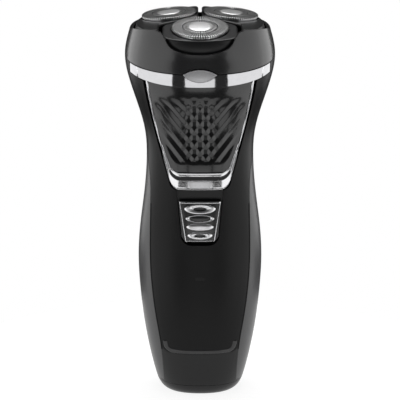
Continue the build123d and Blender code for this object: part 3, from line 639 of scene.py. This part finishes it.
@dataclass
class ShavingHead:
    """One slotted shaving ring with its two tracks, groove, rim and centre cap."""

    place: str
    radius: float = 11.0 * MM
    rim_round: float = 0.45 * MM
    rim_steps: int = 4
    slot_overhang: float = 0.25 * MM
    taper_from: float = 0.62
    foot_taper: float = 0.25 * MM
    depth: float = 2.2 * MM
    track_crown: float = 0.02 * MM
    outer_track: tuple[float, float] = (7.0 * MM, 10.55 * MM)
    inner_track: tuple[float, float] = (4.75 * MM, 6.4 * MM)
    groove_depth: float = 0.55 * MM
    thickness: float = 0.3 * MM
    outer_slots: int = 72
    inner_slots: int = 36
    slot_share: int = 2
    columns_per_slot: int = 4
    cap_radius: float = 4.45 * MM
    cap_crown: float = 0.22 * MM
    cap_proud: float = 0.1 * MM
    cap_depth: float = 1.2 * MM
    cap_steps: int = 72
    top_above_joint: float = 4.0 * MM

    def build(self) -> None:
        """Build the slotted ring and its cap."""
        joint = next(each for each in frame["joints"] if each["name"] == f"{self.place}_cutter_spin")
        axis = Vector(joint["axis"]).normalized()
        turn = axis.to_track_quat("Z", "Y").to_matrix().to_4x4()
        middle = Vector(joint["pos_m"]) + axis * self.top_above_joint
        self.placing = Matrix.Translation(middle) @ turn
        self._ring()
        self._cap()

    def _at(self, radius: float, angle: float, height: float) -> Vector:
        """Place a point given round the ring's own axis.

        Args:
            radius: distance from the axis.
            angle: angle round it.
            height: height over the ring's top.

        Returns:
            The point in the frame.
        """
        return self.placing @ Vector((radius * math.cos(angle), radius * math.sin(angle), height))

    def _section(self) -> list[tuple[float, float, str]]:
        """List the stations of the ring's section from the cap outwards.

        Returns:
            Radius, height and zone of each station; a station's zone reaches to the next one.
        """
        inner_low, inner_high = self.inner_track
        outer_low, outer_high = self.outer_track
        edge = self.radius - self.rim_round
        crown, groove = self.track_crown, -self.groove_depth
        stations = [(inner_low - 0.25 * MM, -0.5 * MM, "plain"),
                    (inner_low - 0.18 * MM, 0.0, "plain"),
                    (inner_low + 0.1 * MM, crown, "inner"),
                    (inner_high - 0.1 * MM, crown, "plain"),
                    (inner_high + 0.05 * MM, 0.0, "plain"),
                    (inner_high + 0.12 * MM, groove, "groove"),
                    (outer_low - 0.12 * MM, groove, "groove"),
                    (outer_low - 0.05 * MM, 0.0, "plain"),
                    (outer_low + 0.15 * MM, crown, "outer"),
                    (outer_high - 0.5 * MM, crown, "outer"),
                    (edge, 0.0, "outer")]
        for step in range(1, self.rim_steps + 1):
            turn = math.pi / 2 * step / self.rim_steps
            drop = self.rim_round * (math.cos(turn) - 1)
            stations.append((edge + self.rim_round * math.sin(turn), drop, "outer"))
        radius, drop, _ = stations.pop()
        stations.append((radius, drop - self.slot_overhang, "rim"))
        stations.append((self.radius, -self.depth * self.taper_from, "rim"))
        stations.append((self.radius - self.foot_taper, -self.depth, "rim"))
        return stations

    def _ring(self) -> None:
        """Cut the slots cell by cell and close the shell, with painted shade metal on the groove, inner faces
        and slot walls.
        """
        stations = self._section()
        columns = self.outer_slots * self.columns_per_slot
        mesh = Mesh()
        outside, inside = [], []
        for place, (radius, height, _) in enumerate(stations):
            before = stations[max(place - 1, 0)]
            after = stations[min(place + 1, len(stations) - 1)]
            along = Vector((after[0] - before[0], after[1] - before[1])).normalized()
            inward = Vector((along.y, -along.x)) * self.thickness
            angles = [2 * math.pi * column / columns for column in range(columns)]
            outside.append([mesh.add_point(self._at(radius, angle, height)) for angle in angles])
            inside.append([mesh.add_point(self._at(radius + inward.x, angle, height + inward.y))
                           for angle in angles])
        solid = [[self._is_solid(zone, column) for column in range(columns)]
                 for _, _, zone in stations[:-1]]
        for row, (_, _, zone) in enumerate(stations[:-1]):
            # Index 2 is painted shade: the groove floor, the inner faces and the slot walls.
            finish = {"rim": 1, "groove": 2}.get(zone, 0)
            for column in range(columns):
                if not solid[row][column]:
                    continue
                after = (column + 1) % columns
                mesh.add_face((outside[row][column], outside[row][after], outside[row + 1][after],
                               outside[row + 1][column]), finish)
                mesh.add_face((inside[row][after], inside[row][column], inside[row + 1][column],
                               inside[row + 1][after]), 2)
                self._close(mesh, outside, inside, solid, row, column)
        name = f"{self.place}_slotted_ring"
        made = mesh.piece(name, [RING_STEEL, RIM_STEEL, PAINTED_SHADE_METAL], f"{self.place}_pod", "ring_steel",
                          (f"{self.place}_shaving_ring",))
        set_sharp(made, math.radians(40))

    def _is_solid(self, zone: str, column: int) -> bool:
        """Tell whether a cell of the shell is metal.

        Args:
            zone: zone of the section.
            column: number of the cell round the ring.

        Returns:
            True for metal and False for a slot.
        """
        if zone == "outer":
            return column % self.columns_per_slot >= self.slot_share
        if zone == "inner":
            width = self.columns_per_slot * self.outer_slots // self.inner_slots
            return column % width >= width // 2
        return True

    @staticmethod
    def _close(mesh: Mesh, outside: list[list[int]], inside: list[list[int]], solid: list[list[bool]],
               row: int, column: int) -> None:
        """Wall a metal cell off from the slots and ends beside it, in painted shade metal.

        Args:
            mesh: the mesh being made.
            outside: numbers of the outer points by row and column.
            inside: numbers of the inner points by row and column.
            solid: which cells are metal.
            row: row of the cell.
            column: column of the cell.
        """
        columns = len(solid[0])
        after = (column + 1) % columns
        sides = [((row, column), (row + 1, column), solid[row][column - 1]),
                 ((row, after), (row + 1, after), solid[row][after]),
                 ((row, column), (row, after), row > 0 and solid[row - 1][column]),
                 ((row + 1, column), (row + 1, after), row + 1 < len(solid) and solid[row + 1][column])]
        for (row_a, column_a), (row_b, column_b), neighbour in sides:
            if not neighbour:
                mesh.add_face((outside[row_a][column_a], outside[row_b][column_b], inside[row_b][column_b],
                               inside[row_a][column_a]), 2)

    def _cap(self) -> None:
        """Turn the domed cap in the ring's middle."""
        mesh = Mesh()
        around = self.cap_steps
        profile = [(self.cap_radius * share, self.cap_crown * (1 - share * share) + self.cap_proud)
                   for share in (0.12, 0.3, 0.5, 0.7, 0.86, 0.94)]
        profile += [(self.cap_radius, -0.02 * MM), (self.cap_radius, -self.cap_depth)]
        rows = [[self._at(radius, 2 * math.pi * step / around, height) for step in range(around)]
                for radius, height in profile]
        mesh.add_sheet(rows, closed=True)
        for row, height in ((rows[0], self.cap_crown + self.cap_proud), (rows[-1], -self.cap_depth)):
            mesh.add_fan(row, self._at(0, 0, height))
        made = mesh.piece(f"{self.place}_centre_cap", [CAP_STEEL], f"{self.place}_pod", "ring_steel",
                          (f"{self.place}_ring_cap",))
        set_sharp(made)


@dataclass
class ReliefPanel:
    """The glossy front panel with its crossing rows of pyramids."""

    margin: float = 0.12 * MM
    columns: int = 176
    rows: int = 190
    pitch: float = 2.75 * MM
    slope: float = 1.22
    depth: float = 0.66 * MM
    top_plain: float = 122.6 * MM
    bottom_plain: float = 96.5 * MM
    fade_below: float = 3 * MM
    fade_above: tuple[float, float] = (-4 * MM, 1.5 * MM)
    fade_beside: float = 0.22
    crossing: tuple[float, float] = (1.5 * MM, 9.5 * MM)
    thickness: float = 0.8 * MM
    rows_per_back_row: int = 10
    measuring_step: float = 0.05 * MM

    def build(self) -> None:
        """Lay the relief on the panel's own surface."""
        self.skin = FairSkin("textured_panel")
        self.low, self.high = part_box("textured_panel")
        mesh = Mesh()
        rows = [self._row(step / self.rows) for step in range(self.rows + 1)]
        mesh.add_sheet(rows)
        backs = [[point + BACKWARDS * self.thickness for point in row] for row in rows]
        self._close_edges(mesh, rows, backs)
        made = mesh.piece("relief_panel", [GLOSS_PANEL], "handle", "gloss_panel", ("textured_panel",))
        set_sharp(made, math.radians(50))

    def _row(self, share: float) -> list[Vector]:
        """Lay one level row of points over the panel.

        Args:
            share: how far up the panel, from 0 to 1.

        Returns:
            The row's points.
        """
        height = self.low.z + self.margin + share * (self.high.z - self.low.z - 2 * self.margin)
        half = self.skin.half_width(height, self.high.x, self.measuring_step) - self.margin
        row = []
        for step in range(self.columns + 1):
            across = half * (2 * step / self.columns - 1)
            point, facing = self.skin.front(across, height)
            edge = 1 - abs(across) / half
            row.append(point - facing * self._relief(across, height, edge))
        return row

    def _relief(self, across: float, height: float, edge: float) -> float:
        """Work out how deep the relief is at a point.

        Args:
            across: X of the point.
            height: Z of the point.
            edge: distance from the panel's side edge as a share of the half width.

        Returns:
            The depth under the plain surface, in metres.
        """
        start, end = self.fade_above
        fade = smooth_step(self.bottom_plain, self.bottom_plain + self.fade_below, height)
        fade *= 1 - smooth_step(self.top_plain + start, self.top_plain + end, height)
        fade *= smooth_step(0.0, self.fade_beside, edge)
        depth = 0.0
        for side in (-1, 1):
            reach = 1 - smooth_step(*self.crossing, side * across)
            wave = (height + side * self.slope * across) / (2 * self.pitch)
            valley = abs(2 * (wave - math.floor(wave)) - 1)
            depth += self.depth * reach * valley
        return fade * depth

    def _close_edges(self, mesh: Mesh, rows: list[list[Vector]], backs: list[list[Vector]]) -> None:
        """Give the panel its thickness.

        Args:
            mesh: the mesh being made.
            rows: points of the front.
            backs: points of the back.
        """
        mesh.add_sheet([self._border(rows), self._border(backs)], closed=True)
        mesh.add_sheet(backs[::self.rows_per_back_row])

    @staticmethod
    def _border(rows: list[list[Vector]]) -> list[Vector]:
        """Go once round the points of a sheet.

        Args:
            rows: the sheet's points.

        Returns:
            The points of its border in order.
        """
        right = [row[-1] for row in rows[1:]]
        left = [row[0] for row in rows[-2:0:-1]]
        return rows[0] + right + rows[-1][-2::-1] + left


def smooth_step(low: float, high: float, value: float) -> float:
    """Rise smoothly from 0 to 1.

    Args:
        low: where the rise starts.
        high: where it ends.
        value: where it is read.

    Returns:
        A number from 0 to 1.
    """
    share = min(max((value - low) / (high - low), 0.0), 1.0)
    return share * share * (3 - 2 * share)


@dataclass
class BezelTrim:
    """The bright frame that runs down both sides of the panel and cups its foot."""

    inner_foot: tuple[float, float] = (8.6 * MM, 93.6 * MM)
    inner_bend: tuple[float, float] = (12.4 * MM, 97.6 * MM)
    outer_foot: tuple[float, float] = (8.6 * MM, 86.7 * MM)
    outer_bend: tuple[float, float] = (11.9 * MM, 90.0 * MM)
    inner_side: tuple[tuple[float, float], ...] = ((16.2 * MM, 108.5 * MM), (18.7 * MM, 120 * MM),
                                                   (20.2 * MM, 131 * MM))
    outer_side: tuple[tuple[float, float], ...] = ((16.9 * MM, 108.5 * MM), (19.5 * MM, 120 * MM),
                                                   (21.2 * MM, 131 * MM))
    corner_pull: tuple[float, float] = (0.72, 0.2)
    bend_steps: int = 14
    foot_steps: int = 24
    side_steps: int = 40
    lip: float = 0.06
    lip_rise: float = 0.12 * MM
    hollow: float = 0.5 * MM
    ridge: float = 0.45
    rise: float = 0.45 * MM
    ridge_end: float = 0.51
    ridge_drop: float = 0.12 * MM
    face_end: float = 0.9
    face_drop: float = 0.35 * MM
    strip_crown: float = 0.3 * MM
    strip_sunk: float = 0.05 * MM
    wide_from: tuple[float, float] = (1.2 * MM, 5.0 * MM)
    patch_heights: tuple[float, float] = (0.4 * MM, 3.4 * MM)
    patch_half_width: float = 3.6 * MM
    patch_flare: float = 0.4
    thickness: float = 0.7 * MM
    top_gap: float = 0.2 * MM
    past_top: float = 2 * MM

    def build(self) -> None:
        """Sweep the frame's section round the panel."""
        self.skin = FairSkin("chrome_bezel")
        inner = self._path(self.inner_foot, self.inner_bend, self.inner_side)
        outer = self._path(self.outer_foot, self.outer_bend, self.outer_side)
        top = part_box("chrome_bezel")[1].z
        kept = [pair for pair in zip(inner, outer) if pair[0][1] <= top + self.past_top]
        half = [self._section(near, far, top) for near, far in kept]
        mirrored = [[Vector((-point.x, point.y, point.z)) for point in row] for row in half[:0:-1]]
        mesh = Mesh()
        rows = mirrored + half
        mesh.add_sheet(rows)
        self._close_back(mesh, rows)
        made = mesh.piece("bezel_trim", [CHROME, SATIN_METAL], "handle", "chrome_trim", ("chrome_bezel",))
        self._dress_patch(made)
        set_sharp(made, math.radians(24))

    def _dress_patch(self, made: bpy.types.Object) -> None:
        """Give the middle of the foot its satin patch, wider at the top.

        Args:
            made: the frame.
        """
        low, high = self.patch_heights
        for face in made.data.polygons:
            above_foot = face.center.z - self.outer_foot[1]
            half_width = self.patch_half_width + self.patch_flare * above_foot
            if low < above_foot < high and abs(face.center.x) < half_width:
                face.material_index = 1

    def _path(self, foot: tuple[float, float], bend: tuple[float, float],
              side: tuple[tuple[float, float], ...]) -> list[tuple[float, float]]:
        """Run from the middle of the foot round the bend and up the right side.

        Args:
            foot: where the foot's straight stretch ends.
            bend: where the bend ends.
            side: further points up the side.

        Returns:
            Points as X and Z.
        """
        points = [(foot[0] * step / self.foot_steps, foot[1]) for step in range(self.foot_steps)]
        corner = (part_way(foot, bend, self.corner_pull[0])[0], part_way(foot, bend, self.corner_pull[1])[1])
        for step in range(self.bend_steps):
            points.append(between((foot, corner, bend), step / self.bend_steps))
        return points + smooth_curve([bend, *side], self.side_steps)

    def _section(self, near: tuple[float, float], far: tuple[float, float], top: float) -> list[Vector]:
        """Lay the section from the panel's edge to the outer edge.

        Args:
            near: X and Z at the panel's edge.
            far: X and Z at the outer edge.
            top: highest Z of the frame.

        Returns:
            The section's points.
        """
        gap = math.dist(near, far)
        wide = smooth_step(*self.wide_from, gap)
        row = []
        for share, lift in self._profile():
            across, height = part_way(near, far, share)
            point, facing = self.skin.front(across, min(height, top - self.top_gap))
            narrow_lift = self.strip_crown * math.sin(math.pi * share) - self.strip_sunk
            row.append(point + facing * (wide * lift + (1 - wide) * narrow_lift))
        return row

    def _profile(self) -> list[tuple[float, float]]:
        """Shape the foot's section: a hollow lip, a crisp ridge and a flat lower face.

        Returns:
            Pairs of place across, from 0 to 1, and lift over the surface.
        """
        lip, crest = (self.lip, self.lip_rise), (self.ridge, self.rise)
        points = [(0.0, -0.5 * MM), (0.02, 0.0), lip]
        for share in (step / 8 for step in range(1, 8)):
            across, lift = part_way(lip, crest, share)
            points.append((across, lift - self.hollow * math.sin(math.pi * share)))
        points += [crest, (self.ridge + 0.03, self.rise - 0.02 * MM)]
        start = (self.ridge_end, self.rise - self.ridge_drop)
        end = (self.face_end, start[1] - self.face_drop)
        points += [part_way(start, end, step / 6) for step in range(6)]
        points += [(0.93, -0.08 * MM), (0.97, -0.02 * MM), (0.995, -0.12 * MM), (1.0, -0.6 * MM)]
        return points

    def _close_back(self, mesh: Mesh, rows: list[list[Vector]]) -> None:
        """Close the frame's hidden side.

        Args:
            mesh: the mesh being made.
            rows: the sections in order.
        """
        back = BACKWARDS * self.thickness
        mesh.add_sheet([[row[-1], row[-1] + back, row[0] + back, row[0]] for row in rows])
        for row in (rows[0], rows[-1]):
            loop = [*row, row[-1] + back, row[0] + back]
            mesh.add_face(tuple(mesh.add_point(point) for point in loop))


def between(points: tuple[tuple[float, float], ...], share: float) -> tuple[float, float]:
    """Read a curve pulled towards its middle point.

    Args:
        points: start, middle and end.
        share: place along it, from 0 to 1.

    Returns:
        The point there.
    """
    rest = 1 - share
    weights = (rest * rest, 2 * rest * share, share * share)
    return (sum(weight * point[0] for weight, point in zip(weights, points)),
            sum(weight * point[1] for weight, point in zip(weights, points)))


def part_way(start: tuple[float, float], end: tuple[float, float], share: float) -> tuple[float, float]:
    """Read a straight stretch between two points.

    Args:
        start: X and Z of its start.
        end: X and Z of its end.
        share: place along it, from 0 to 1.

    Returns:
        The point there.
    """
    return start[0] + (end[0] - start[0]) * share, start[1] + (end[1] - start[1]) * share


def smooth_curve(knots: list[tuple[float, float]], steps: int) -> list[tuple[float, float]]:
    """Run a smooth curve through knots.

    Args:
        knots: X and Z of the knots.
        steps: how many parts the curve is divided into.

    Returns:
        The points of the curve, from the first knot to the last.
    """
    points = []
    last = len(knots) - 1
    for step in range(steps + 1):
        place = min(int(step / steps * last), last - 1)
        share = step / steps * last - place
        around = [Vector(knots[min(max(place + offset, 0), last)]) for offset in (-1, 0, 1, 2)]
        before, start, end, after = around
        spot = 0.5 * (2 * start + (end - before) * share
                      + (2 * before - 5 * start + 4 * end - after) * share ** 2
                      + (3 * start - before - 3 * end + after) * share ** 3)
        points.append((spot.x, spot.y))
    return points


# Share of the way up the lip, and lift as a share of how proud it stands.
LIP_PROFILE = ((0.0, -0.4), (0.03, 0.25), (0.12, 0.9), (0.25, 1.0), (0.8, 0.3), (1.0, -0.1))
# Place across the seam as a share of its width, and lift as a share of how proud it stands.
SEAM_PROFILE = ((-0.5, -8.0), (-0.5, 1.0), (0.5, 1.0), (0.5, -8.0))


@dataclass
class CoverLedge:
    """The raised lip along the lower edge of the matt cover, in a lighter copy of the cover's colour as a
    painted highlight.
    """

    foot: float = 18.9 * MM
    half_width: float = 14.9 * MM
    corner: float = 4.2 * MM
    rise_of_side: float = 0.6 * MM
    lip: float = 1.7 * MM
    proud: float = 0.38 * MM
    thickness: float = 0.5 * MM
    steps: int = 16

    def build(self) -> None:
        """Sweep the lip from side to side along the cover's foot."""
        skin = Skin("front_cover", "front_shell", "left_grip", "right_grip")
        outer, inner = self._line(0.0), self._line(self.lip)
        rows = []
        for share, lift in LIP_PROFILE:
            row = []
            for far, near in zip(outer, inner):
                point, facing = skin.front(*part_way(far, near, share))
                row.append(point + facing * (lift * self.proud))
            rows.append(row)
        for row in (rows[-1], rows[0]):
            rows.append([point + BACKWARDS * self.thickness for point in row])
        rows.append(rows[0])
        mesh = Mesh()
        mesh.add_sheet(rows)
        # The lip's lighter finish is a painted highlight.
        mesh.piece("cover_ledge", [COVER_LIP_PAINTED_HIGHLIGHT], "handle", "satin_cover")

    def _line(self, inset: float) -> list[tuple[float, float]]:
        """Run along the cover's foot at some distance inside it.

        Args:
            inset: the distance, in metres.

        Returns:
            Points as X and Z.
        """
        corner = self.corner - inset
        middle = (self.half_width - self.corner, self.foot + self.corner)
        right = [(middle[0] * step / self.steps, self.foot + inset) for step in range(self.steps)]
        for step in range(self.steps + 1):
            turn = math.pi / 2 * step / self.steps
            right.append((middle[0] + corner * math.sin(turn), middle[1] - corner * math.cos(turn)))
        right.append((middle[0] + corner + 0.1 * MM, middle[1] + self.rise_of_side))
        return [(-across, height) for across, height in right[:0:-1]] + right


@dataclass
class CoverSeam:
    """A matt black strip along the seam between the matt cover and the grips: painted shade of the groove
    there.
    """

    edge: tuple[tuple[float, float], ...] = (
        (15.6 * MM, 19.5 * MM), (16.3 * MM, 25 * MM), (18.6 * MM, 40 * MM), (19.9 * MM, 57 * MM),
        (19.7 * MM, 80 * MM))
    width: float = 0.5 * MM
    proud: float = 0.03 * MM
    steps: int = 60

    def build(self) -> None:
        """Lay the painted shade strip along the seam on both sides."""
        skin = Skin("front_cover", "left_grip", "right_grip", "front_shell")
        for side, name in ((-1, "left"), (1, "right")):
            rows = []
            for spot_across, spot_height in smooth_curve(list(self.edge), self.steps):
                row = []
                for offset, lift in SEAM_PROFILE:
                    point, facing = skin.front(side * (spot_across + offset * self.width), spot_height)
                    row.append(point + facing * (lift * self.proud))
                rows.append(row)
            mesh = Mesh()
            mesh.add_sheet(rows)
            mesh.add_sheet([[row[-1] for row in rows], [row[0] for row in rows]])
            # Each strip is painted shade along the seam.
            mesh.piece(f"{name}_cover_seam_shade", [SEAM_PAINTED_SHADE], "handle", "dark_shell")


class Jewel(Enum):
    """Shape of one silver oval of the switch."""

    DISH = "dish"
    HOOP = "hoop"
    DOME = "dome"
    EYE = "eye"


# Each profile runs from the rim to the middle: share of the radius, and lift over the slider in millimetres.
JEWEL_PROFILES = {
    Jewel.DISH: ((1.0, -0.3), (0.98, 0.25), (0.9, 0.5), (0.78, 0.55), (0.62, 0.46), (0.5, 0.42), (0.42, 0.25),
                 (0.15, 0.2)),
    Jewel.HOOP: ((1.0, -0.3), (0.98, 0.3), (0.92, 0.52), (0.84, 0.52), (0.78, 0.3), (0.74, 0.1), (0.5, 0.16),
                 (0.2, 0.2)),
    Jewel.DOME: ((1.0, -0.3), (0.97, 0.2), (0.88, 0.45), (0.7, 0.62), (0.5, 0.7), (0.3, 0.74), (0.12, 0.75)),
    Jewel.EYE: ((1.0, -0.3), (0.97, 0.25), (0.88, 0.5), (0.7, 0.66), (0.5, 0.68), (0.42, 0.5), (0.3, 0.45),
                (0.12, 0.45)),
}
DARK_WITHIN = {Jewel.DISH: 0.45, Jewel.HOOP: 0.72, Jewel.DOME: 0.0, Jewel.EYE: 0.4}


@dataclass(frozen=True)
class Oval:
    """One silver oval: height of its middle, half width, half height and shape."""

    height: float
    half_width: float
    half_height: float
    shape: Jewel


# Share of the way from the outer line to the inner one, and lift over the slider in millimetres.
EDGING_PROFILE = ((0.0, -0.25), (0.04, 0.06), (0.3, 0.16), (0.7, 0.16), (0.96, 0.06), (1.0, -0.25))


@dataclass
class SlideSwitch:
    """Silver ovals and bright edging on the slide switch."""

    ovals: tuple[Oval, ...] = (Oval(79.3 * MM, 6.2 * MM, 2.0 * MM, Jewel.DISH),
                               Oval(75.5 * MM, 5.7 * MM, 1.5 * MM, Jewel.HOOP),
                               Oval(72.2 * MM, 5.5 * MM, 1.5 * MM, Jewel.DOME),
                               Oval(68.8 * MM, 5.0 * MM, 1.6 * MM, Jewel.EYE))
    around: int = 64
    edging: float = 0.34 * MM
    top_bar: float = 0.75 * MM
    side_gap: float = 0.05 * MM
    end_gap: float = 0.15 * MM
    measured_in: float = 0.5 * MM
    measuring_step: float = 0.03 * MM

    def build(self) -> None:
        """Build the ovals and the edging."""
        self.skin = Skin("switch_slider")
        mesh = Mesh()
        for oval in self.ovals:
            self._oval(mesh, oval)
        made = mesh.piece("switch_ovals", [OVAL_SILVER, GLOSS_BLACK], "switch", "satin_metal",
                          ("switch_ridges",))
        set_sharp(made, math.radians(50))
        self._edging()

    def _oval(self, mesh: Mesh, oval: Oval) -> None:
        """Raise one oval from the slider.

        Args:
            mesh: the mesh being made.
            oval: the oval.
        """
        profile, dark_from = JEWEL_PROFILES[oval.shape], DARK_WITHIN[oval.shape]
        rings = []
        for share, lift in profile:
            rings.append([self._on_slider(oval, share, 2 * math.pi * step / self.around, lift * MM)
                          for step in range(self.around)])
        for place in range(len(rings) - 1):
            middle = (profile[place][0] + profile[place + 1][0]) / 2
            mesh.add_sheet(rings[place:place + 2], closed=True, finish=1 if middle < dark_from else 0)
        mesh.add_fan(rings[-1], self._on_slider(oval, 0, 0, profile[-1][1] * MM), 1 if dark_from else 0)
        mesh.add_fan(rings[0], self._on_slider(oval, 0, 0, profile[0][1] * MM))

    def _on_slider(self, oval: Oval, share: float, angle: float, lift: float) -> Vector:
        """Place a point of an oval over the slider's face.

        Args:
            oval: the oval.
            share: distance from its middle, from 0 to 1.
            angle: angle round it.
            lift: height over the slider.

        Returns:
            The point.
        """
        across = oval.half_width * share * math.cos(angle)
        height = oval.height + oval.half_height * share * math.sin(angle)
        point, facing = self.skin.front(across, height)
        return point + facing * lift

    def _edging(self) -> None:
        """Run a bright line round the slider's face, wider along its top."""
        low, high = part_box("switch_slider")
        mesh = Mesh()
        reach_low = self._reach(low.z + self.measured_in)
        reach_high = self._reach(high.z - self.measured_in)
        bottom, top = low.z + self.end_gap, high.z - self.end_gap
        outer = [(-reach_low, bottom), (reach_low, bottom), (reach_high, top), (-reach_high, top)]
        thin = self.edging
        inner = [(-reach_low + thin, bottom + thin), (reach_low - thin, bottom + thin),
                 (reach_high - thin, top - self.top_bar), (-reach_high + thin, top - self.top_bar)]
        outer_line = self._densify(outer)
        inner_line = self._densify(inner)
        rows = []
        for share, lift in EDGING_PROFILE:
            row = []
            for far, near in zip(outer_line, inner_line):
                across, height = part_way(far, near, share)
                point, facing = self.skin.front(across, height)
                row.append(Vector((across, point.y, height)) + facing * (lift * MM))
            rows.append(row)
        rows.append(rows[0])
        mesh.add_sheet(rows, closed=True)
        mesh.piece("switch_edging", [CHROME], "switch", "chrome_trim")

    def _reach(self, height: float) -> float:
        """Measure the slider's half width at a height.

        Args:
            height: Z.

        Returns:
            The half width there.
        """
        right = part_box("switch_slider")[1].x
        return self.skin.half_width(height, right, self.measuring_step) - self.side_gap

    @staticmethod
    def _densify(corners: list[tuple[float, float]], steps: int = 24) -> list[tuple[float, float]]:
        """Divide the sides of an outline evenly.

        Args:
            corners: corners of the outline.
            steps: how many parts each side has.

        Returns:
            The points of the outline.
        """
        line = []
        for start, end in zip(corners, corners[1:] + corners[:1]):
            line += [part_way(start, end, step / steps) for step in range(steps)]
        return line


def main() -> None:
    """Dress the frame, build the pieces and set up the studio."""
    logging.basicConfig(level=logging.INFO, format="%(message)s")
    Studio().build()
    dress_nodes()
    for place in HEAD_PLACES:
        ShavingHead(place).build()
    ReliefPanel().build()
    BezelTrim().build()
    SlideSwitch().build()
    CoverLedge().build()
    CoverSeam().build()


if __name__ == "__main__":
    main()
